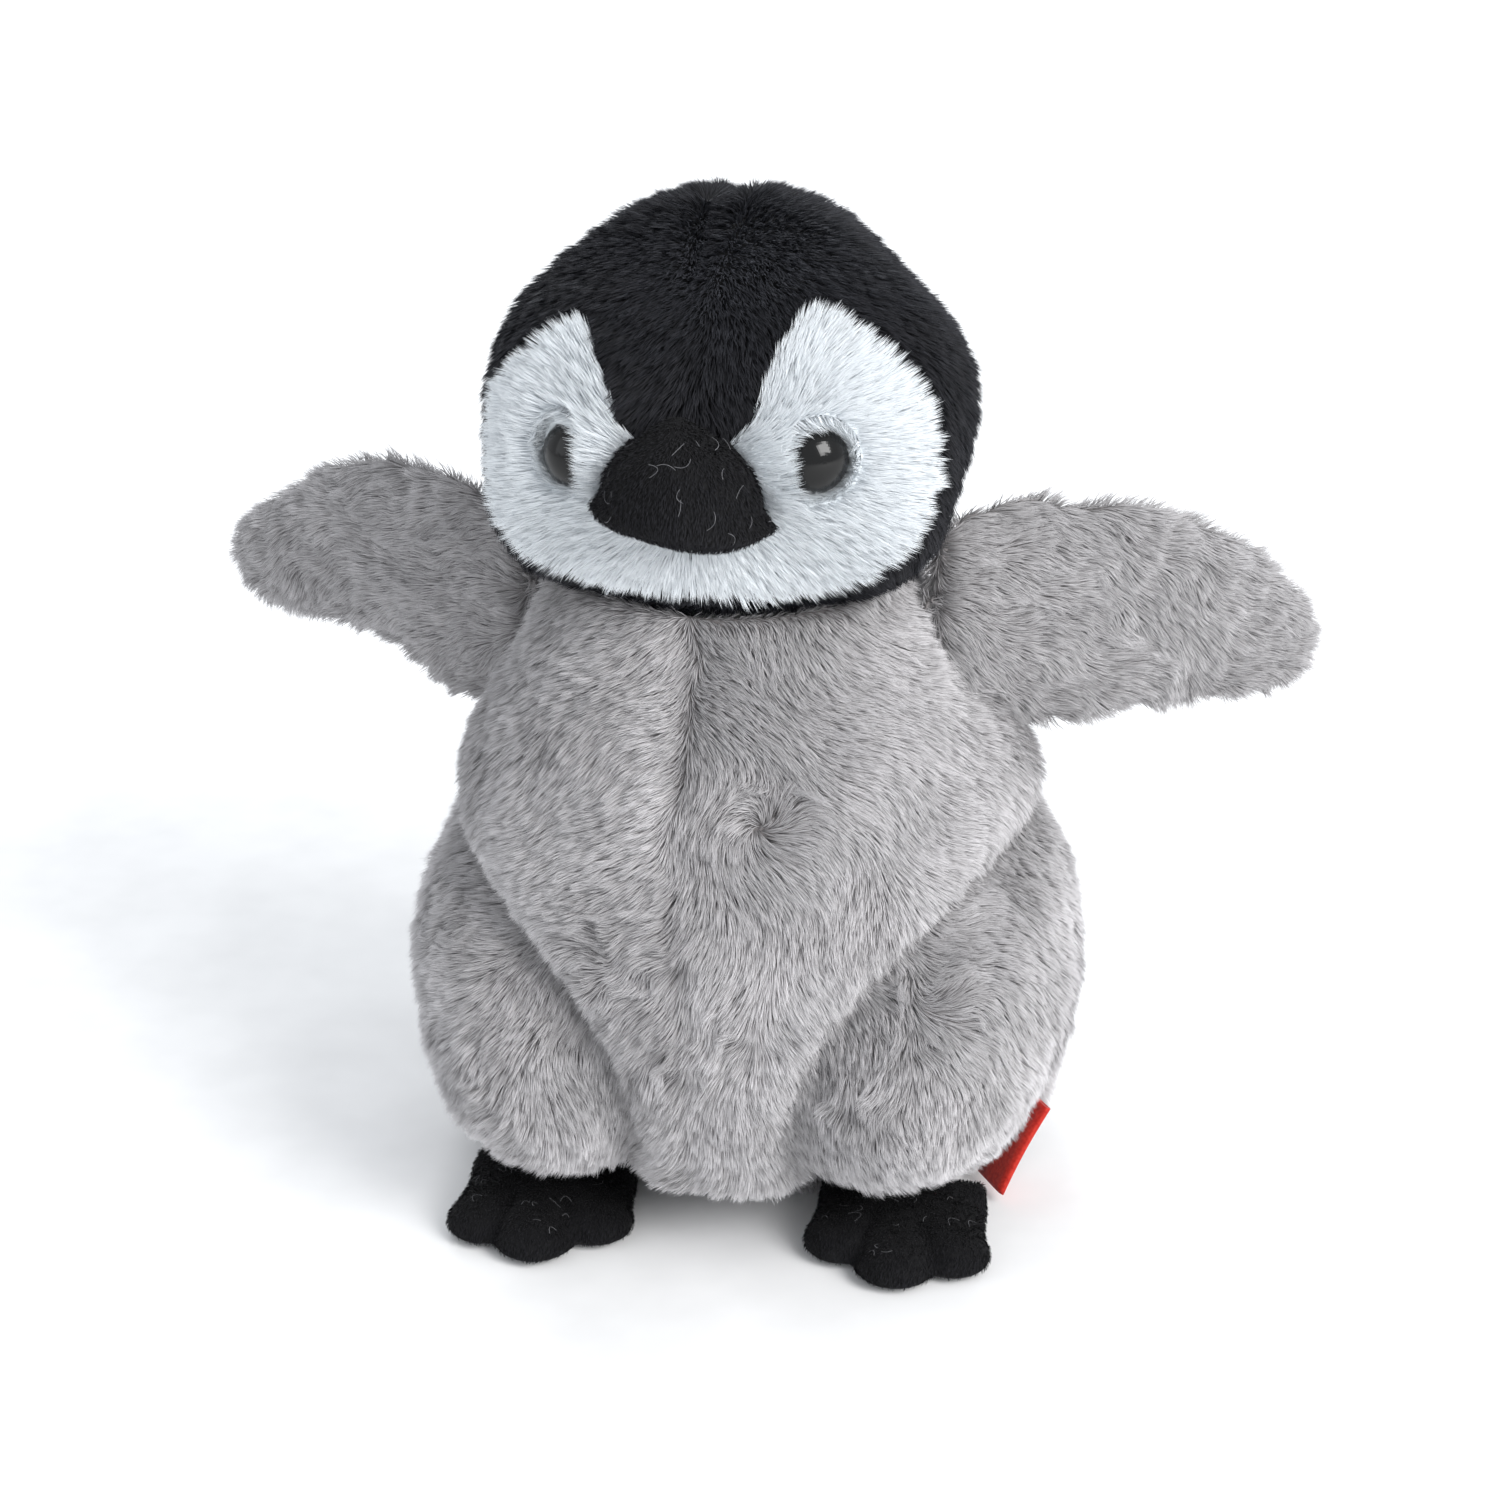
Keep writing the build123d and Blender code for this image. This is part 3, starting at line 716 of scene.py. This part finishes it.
def hood_comb(p, n):
    """Away from the crown: down the brow to the beak, down the sides and the back."""
    q = p - HEAD
    t = np.zeros_like(p)
    t[:, 2] = -1.0
    t[:, 0] = np.tanh(q[:, 0] / 4) * 0.40 * np.exp(-np.abs(q[:, 0]) / 9) + q[:, 0] * 0.012
    t[:, 1] = 0.45 * np.tanh(q[:, 1] / 16) + noise(p, 11, 73) * 0.25
    chin = smooth(-p[:, 2], -142, -134)[:, None]
    t = t * (1 - chin) + unit(q * (1, 1, 0) + (0, 0, -8)) * chin
    return turned(t, n, noise(p, 13, 71) * 0.4 + noise(p, 5, 72) * 0.25)


def head_length(base):
    """Length of the head's pile; none under the eyes, under the beak and against the torso."""
    def length(p, n):
        ln = base + noise(p, 8, 81) * 0.4 + 1.6 * bump(p, NASAL, NASAL_R)
        below = (np.hypot(p[:, 0], p[:, 1] - HEAD[1]) < 24) & (p[:, 2] < 140)
        under_beak = np.linalg.norm((p - BEAK_MIDDLE) / BEAK_R, axis=1) < 0.9
        return np.where((eye_distance(p) < EYE_R - 1.2) | below | under_beak, 0, ln)
    return length


def tangent(comb, p, n):
    """Unit directions of a comb field along the surface."""
    t = comb(p, n)
    return unit(t - n * (t * n).sum(1, keepdims=True))


def white_grows(p, n):
    """Where the tips of the white pile come out inside the patch's outline."""
    return in_cheek(p + tangent(cheek_comb, p, n) * CHEEK_LEAN + n * CHEEK_RISE)


def black_length(p, n):
    """Short where the pile would lean over the white patch."""
    near = in_cheek(p + tangent(hood_comb, p, n) * 2.4 + n * 2.0)
    return head_length(BLACK_PILE)(p, n) * np.where(near, 0.5, 1.0)


def white_lift(p, n):
    """Steeper right round the eyes, where the pile stands against the domes."""
    return 1.05 + 0.35 * np.exp(-((eye_distance(p) - EYE_R) / 2.5) ** 2)


def white_tone(p, n):
    """Paler under the beak: painted light against the beak's shade there."""
    return 0.5 + noise(p, 6, 91) * 0.2 + 0.6 * smooth(-p[:, 2], -150, -140)


def black_tone(p, n):
    return 0.46 + noise(p, 7, 92) * 0.3 + noise(p, 2.4, 93) * 0.25


# the backing is white where white pile grows
face_middle = head.co[head.quads].mean(axis=1)
white = white_grows(face_middle, head.normal[head.quads[:, 0]])
head_ob.data.polygons.foreach_set("material_index", white.astype(np.int32))

for side, sx in (("left", 1), ("right", -1)):
    head_pieces += grow(
        "pile_cheek_" + side, head, white_fur, "head", "white_plush", 13.0 * DENS,
        lambda p, n: (p[:, 0] * sx > 0) & white_grows(p, n), cheek_comb, head_length(WHITE_PILE), white_lift,
        0.175 / DENS ** 0.5, white_tone, 200 + sx, clump=1.2, pull=0.15)
    head_pieces += grow(
        "pile_hood_" + side, head, black_fur, "head", "black_plush", 9.5 * DENS,
        lambda p, n: (p[:, 0] * sx > 0) & ~white_grows(p, n), hood_comb, black_length, level(0.85),
        0.22 / DENS ** 0.5, black_tone, 210 + sx, clump=1.5, pull=0.3)


# ------------------------------------------------------------ eyes
def glossy(name, colour, rough):
    mat = bpy.data.materials.new(name)
    mat.use_nodes = True
    b = mat.node_tree.nodes["Principled BSDF"]
    b.inputs["Base Color"].default_value = (*colour, 1)
    b.inputs["Roughness"].default_value = rough
    b.inputs["Specular IOR Level"].default_value = 0.25
    b.inputs["Coat Weight"].default_value = 0.2
    b.inputs["Coat Roughness"].default_value = 0.02
    return mat


eye_mat = glossy("eye_plastic", (0.003, 0.003, 0.003), 0.14)
for name, (centre, ax) in eyes.items():
    # the dome and its post, in profile from the top of the dome to the end of the post
    profile = [(EYE_R * math.sin(a), EYE_H * math.cos(a)) for a in np.linspace(0, math.pi / 2, 20)]
    profile += [(EYE_R, -0.3), (EYE_R * 0.95, -0.4), (2.0, -0.4), (2.0, -9.0), (0.0, -9.0)]
    bm = bmesh.new()
    vs = [bm.verts.new((r, 0, z)) for r, z in profile]
    es = [bm.edges.new((a, b)) for a, b in zip(vs, vs[1:])]
    bmesh.ops.spin(bm, geom=vs + es, cent=(0, 0, 0), axis=(0, 0, 1), angle=math.tau, steps=64)
    bmesh.ops.remove_doubles(bm, verts=bm.verts[:], dist=1e-4)
    turn = Vector(ax).to_track_quat("Z", "Y").to_matrix().to_4x4()
    bmesh.ops.transform(bm, matrix=Matrix.Translation(Vector(centre)) @ turn, verts=bm.verts[:])
    bmesh.ops.scale(bm, vec=(MM, MM, MM), verts=bm.verts[:])
    bmesh.ops.recalc_face_normals(bm, faces=bm.faces[:])
    me = bpy.data.meshes.new(name + "_dome")
    bm.to_mesh(me)
    bm.free()
    ob = add(name + "_dome", me, eye_mat, "head", "eye_plastic")
    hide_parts(name)
    head_pieces.append(ob)

# ------------------------------------------------------------ beak
def shape_beak(p):
    """Taller above its widest level, as wide as its outline says, tilted and slimmer at the bottom."""
    widest = 159
    p[:, 2] = np.where(p[:, 2] > widest, widest + (p[:, 2] - widest) * 1.32, p[:, 2])
    levels = np.arange(157.0, 178.0)
    reach = np.array([np.abs(p[np.abs(p[:, 2] - h) < 0.8, 0]).max(initial=1.0) for h in levels])
    p[:, 0] *= np.interp(p[:, 2], levels, np.interp(levels, BEAK_Z, BEAK_X) / reach)
    p[:, 2] -= p[:, 0] * BEAK_TILT * smooth(-p[:, 2], -168, -158)
    p[:, 1] += (BEAK[1] - p[:, 1]) * 0.28 * smooth(-p[:, 2], -156, -153)


beak_nodes = ["beak_upper", "beak_lower", "beak_stuffing"]
beak = Skin(beak_nodes, 0.7)
beak.relax(4)
shape_beak(beak.co)
beak.relax(2)
beak.push(-BEAK_DEEP)
beak_ob = beak.object("beak_skin", felt, "head", "black_felt")
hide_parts(*beak_nodes)
head_pieces.append(beak_ob)


def fuzz_length(p, n):
    return np.where(p[:, 2] < FLOOR_GAP + 0.3, 0, FUZZ + noise(p, 3, 83) * 0.2)


def one_way(way):
    """A comb field that points the same way everywhere."""
    return lambda p, n: np.tile(way, (len(p), 1))


head_pieces += grow("pile_beak", beak, fuzz, "head", "black_felt", 11.0 * DENS,
                    lambda p, n: p[:, 1] < HEAD[1] - 36, one_way((0.0, -0.5, -1.0)), fuzz_length,
                    level(0.9), 0.16 / DENS ** 0.5, level(0.5), 230, clump=0.9)


def lint_on(name, skin, body, slot, count, seed, where):
    """A few stray pale fibres lying on a dark surface, each a narrow bent strip."""
    rng = np.random.default_rng(seed)
    p, n = skin.sample(3.0, rng)
    pick = rng.choice(np.flatnonzero(where(p, n)), count, replace=False)
    p, n = p[pick], n[pick]
    along = unit(np.cross(n, rng.normal(0, 1, (count, 3))))
    aside = np.cross(n, along)
    reach, bend = rng.uniform(0.5, 1.7, count)[:, None], rng.normal(0, 0.8, count)[:, None]
    half_width, steps = 0.03, 8
    co = []
    for s in np.linspace(-1, 1, steps + 1):
        c = p + n * (0.9 + 0.25 * (1 - s * s)) + along * reach * s + aside * bend * s * s
        across = unit(aside - along * 2 * bend * s / reach)
        co += [c - across * half_width, c + across * half_width]
    co = np.stack(co, axis=1).reshape(-1, 3)
    co[:, 2] = np.maximum(co[:, 2], FLOOR_GAP)
    strip = np.concatenate([np.array([0, 1, 3, 2]) + 2 * k for k in range(steps)])
    faces = (np.arange(count)[:, None] * 2 * (steps + 1) + strip).ravel()
    return add(name, make_mesh(name, co, faces, np.full(count * steps, 4)), lint, body, slot)


head_pieces.append(lint_on("lint_beak", beak, "head", "black_felt", 30, 5,
                           lambda p, n: (p[:, 1] < -60) & (n[:, 2] > -0.2)))

# everything on the head sits askew together
askew = (Matrix.Translation(Vector(HEAD) * MM) @ Matrix.Rotation(HEAD_YAW, 4, "Z")
         @ Matrix.Rotation(HEAD_ROLL, 4, "Y") @ Matrix.Translation(-Vector(HEAD) * MM))
for ob in head_pieces:
    ob.data.transform(askew)

# ------------------------------------------------------------ flippers
def flipper(side, sx):
    """A flipper and the tuck of plush beside its root; the right one is slimmer and higher."""
    along = np.array((math.cos(SWEEP) * sx, math.sin(SWEEP), 0.0))
    face = np.array((math.sin(SWEEP) * sx, -math.cos(SWEEP), 0.0))
    root = SHOULDER * (sx, 1, 1)
    flipper_nodes = [side + "_flipper_outer_panel", side + "_flipper_inner_panel", side + "_flipper_wadding"]
    skin = Skin(flipper_nodes, 1.2)
    skin.relax(3)
    skin.push(-FLIPPER_DEEP)
    skin.push(noise(skin.co, 10, 5) * 0.4)
    u, z = (skin.co - root) @ along, skin.co[:, 2] - root[2]
    square = np.interp(u, FLIP_ROOT, FLIP_SQUARE) * (LEFT_SQUARE if side == "left" else 1.0)
    skin.co[:, 2] += np.maximum(z, 0) * square
    if side == "right":
        skin.co[:, 2] += 2.6 * smooth(u, 6, 30) + 5.0 * smooth(u, 4, 22) * smooth(-z, -4, 14)
    skin.measure()
    body = side + "_flipper"
    ob = skin.object(side + "_flipper_skin", grey_back, body, "grey_plush")
    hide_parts(*flipper_nodes)

    def comb(p, n):
        """Towards the tip and down, ruffled."""
        u = (p - root) @ along
        t = np.tile(along, (len(p), 1)) + np.array((0, 0, -0.55)) * smooth(u, 0, 60)[:, None]
        t[:, 2] -= 0.35
        return turned(unit(t), n, noise(p, 10, 15) * 0.7 + noise(p, 4, 16) * 0.7)

    def length(p, n):
        return (FLIPPER_PILE + noise(p, 7, 25) * 0.7) * (0.75 + 0.25 * smooth((p - root) @ along, -8, 12))

    def tone(p, n):
        return 0.14 + noise(p, 5, 35) * 0.20 + noise(p, 2.2, 36) * 0.22

    for name, sign, dense in (("outer", 1, 11.0), ("inner", -1, 8.0)):
        grow("pile_%s_flipper_%s" % (side, name), skin, grey_fur, body, "grey_plush", dense * DENS,
             lambda p, n: (p - root) @ face * sign > 0, comb, length, level(0.74),
             0.70 / (dense * DENS) ** 0.5, tone, 300 + sx * 3 + sign)
    tuck = Skin([side + "_shoulder_tuck"], 1.0)
    tuck.relax(3)
    tuck.push(-TUCK_DEEP)
    shoulder = side + "_shoulder"
    ob = tuck.object(side + "_tuck_skin", grey_back, shoulder, "grey_plush")
    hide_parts(side + "_shoulder_tuck")
    grow("pile_%s_tuck" % side, tuck, grey_fur, shoulder, "grey_plush", 10.0 * DENS,
         level(True), comb, level(TUCK_PILE), level(1.0), 0.21 / DENS ** 0.5, tone, 320 + sx)


flipper("left", 1)
flipper("right", -1)


# ------------------------------------------------------------ feet
def foot(side, sx):
    """Two felt layers sewn at the edge: full in the middle, thin at the rim, with toe grooves."""
    foot_nodes = [side + "_foot_top", side + "_foot_sole", side + "_foot_pad"]
    skin = Skin(foot_nodes, 0.7)
    p = skin.co
    wall = p[(np.abs(skin.normal[:, 2]) < 0.4) & (p[:, 1] < FOOT[1] - 3)][:, :2]
    rim = KDTree(len(wall))
    for i, (x, y) in enumerate(wall):
        rim.insert((x, y, 0), i)
    rim.balance()
    inward = np.array([rim.find((x, y, 0))[2] for x, y in p[:, :2]])
    full = np.sqrt(1 - (1 - np.clip(inward / FOOT_ROUND, 0, 1)) ** 2)
    full = FOOT_RIM + (1 - FOOT_RIM) * full
    middle = FOOT_BASE + (FOOT[2] - FOOT_BASE) * full
    p[:, 2] = middle + (p[:, 2] - FOOT[2]) * full
    p[:, 0] += sx * (p[:, 0] * sx - FOOT[0]) * 0.15 * smooth(p[:, 1], -38, -26)
    dx, y = p[:, 0] * sx - FOOT[0], p[:, 1]
    for groove, lean in TOE_GROOVES:
        off = (dx - groove) * math.cos(lean) + (y + 40) * math.sin(lean)
        cut = np.exp(-(off / 1.3) ** 2) * smooth(-y, 31, 41) * (skin.normal[:, 2] > 0)
        p[:, 2] -= cut * 1.2
    skin.relax(3)
    body = side + "_foot"
    ob = skin.object(side + "_foot_skin", felt, body, "black_felt")
    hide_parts(*foot_nodes)
    grow("pile_%s_foot" % side, skin, fuzz, body, "black_felt", 9.0 * DENS,
         lambda p, n: n[:, 2] > -0.5, one_way((0.0, -1.0, -0.3)), fuzz_length, level(0.75),
         0.16 / DENS ** 0.5, level(0.45), 400 + sx, clump=0.9)
    lint_on("lint_%s_foot" % side, skin, body, "black_felt", 14, 11 + sx,
            lambda p, n: (n[:, 2] > 0.8) & (p[:, 1] < -30))


foot("left", 1)
foot("right", -1)

# ------------------------------------------------------------ carried-over pieces
washer = cloth_material("washer_plastic", (0.60, 0.60, 0.58), (0.70, 0.70, 0.68), 200, rough=0.5,
                        sheen=0, bump=0.05)
ribbon = cloth_material("red_ribbon", (0.40, 0.012, 0.008), (0.60, 0.035, 0.02), 1500, rough=0.6,
                        sheen=0.3)
for n, m in (("neck_core", fluff), ("left_eye_washer", washer), ("right_eye_washer", washer)):
    nodes[n].data.materials.clear()
    nodes[n].data.materials.append(m)

# ------------------------------------------------------------ label
# A plain ribbon folded in two: its fold is the free edge, its ends go into the side seam.
inward = unit(LABEL_INWARD)
facing = unit(np.cross(inward, unit(LABEL_FOOT - LABEL_TOP)))
# half of its outer and inner outlines, from the sewn ends to the fold: inward and aside
outer = [(11.0, 0.55), (6.0, 0.62), (2.0, 0.75), (0.6, 0.65), (0.0, 0.0)]
inner = [(11.0, 0.15), (6.0, 0.22), (2.0, 0.33), (1.2, 0.25), (0.9, 0.0)]
loop = outer + [(a, -b) for a, b in outer[-2::-1]] + [(a, -b) for a, b in inner[:-1]] + inner[::-1]
rows, m = 24, len(loop)
co, quads = [], []
for k in range(rows + 1):
    at = LABEL_TOP + (LABEL_FOOT - LABEL_TOP) * k / rows + facing * 0.5 * math.sin(3.0 * k / rows)
    co += [at + inward * a + facing * b for a, b in loop]
    if k < rows:
        quads += [(k * m + i, k * m + (i + 1) % m, (k + 1) * m + (i + 1) % m, (k + 1) * m + i)
                  for i in range(m)]
for end in (0, rows * m):
    quads += [(end + i, end + i + 1, end + m - 2 - i, end + m - 1 - i) for i in range(m // 2 - 1)]
me = make_mesh("label_ribbon", np.array(co), np.array(quads).ravel(), np.full(len(quads), 4))
bm = bmesh.new()
bm.from_mesh(me)
bmesh.ops.recalc_face_normals(bm, faces=bm.faces[:])
bm.to_mesh(me)
bm.free()
ob = add("label_ribbon", me, ribbon, "torso", "red_ribbon")
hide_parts("brand_label")
